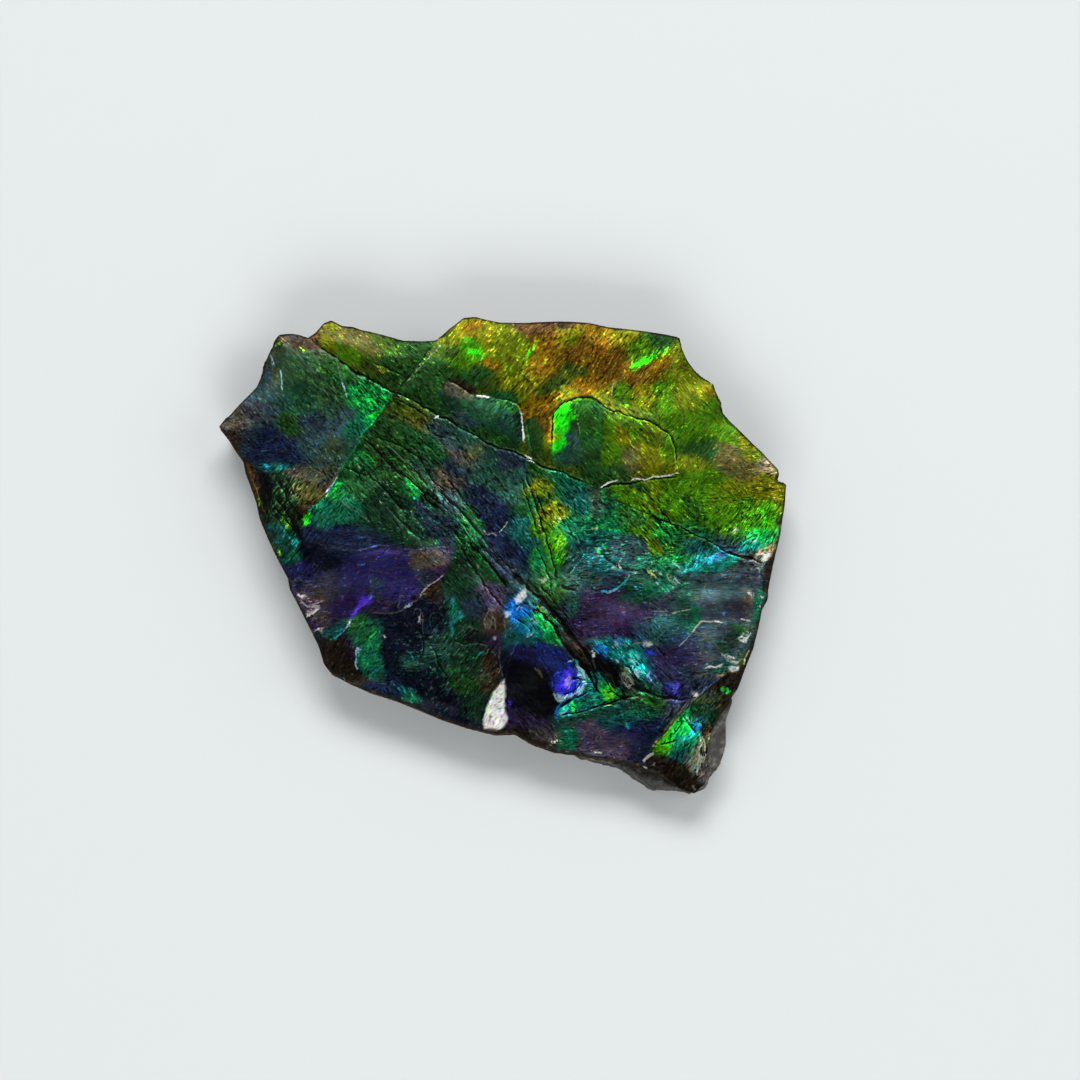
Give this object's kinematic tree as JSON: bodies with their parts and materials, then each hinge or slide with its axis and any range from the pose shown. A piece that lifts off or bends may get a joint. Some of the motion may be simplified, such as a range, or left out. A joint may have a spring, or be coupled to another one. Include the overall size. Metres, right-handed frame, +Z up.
{
  "type": "ammolite specimen",
  "caption": "Rough ammolite specimen: a broken, cracked sheet of iridescent fossil ammonite shell on a thin backing of dark shale, lying on its flat split underside",
  "frame": {"origin": "under the middle of the specimen's bounding box, on the flat split underside that it lies on", "axes": "+X along the specimen's length towards the square right corner, +Y towards the back edge, +Z up out of the iridescent face"},
  "size_m": [0.0354, 0.0304, 0.0036],
  "materials": {
    "nacre": "gloss",
    "shale": "matte"
  },
  "bodies": {
    "root": {"ammolite_sheet": "nacre", "shale_backing": "shale"}
  },
  "joints": []
}
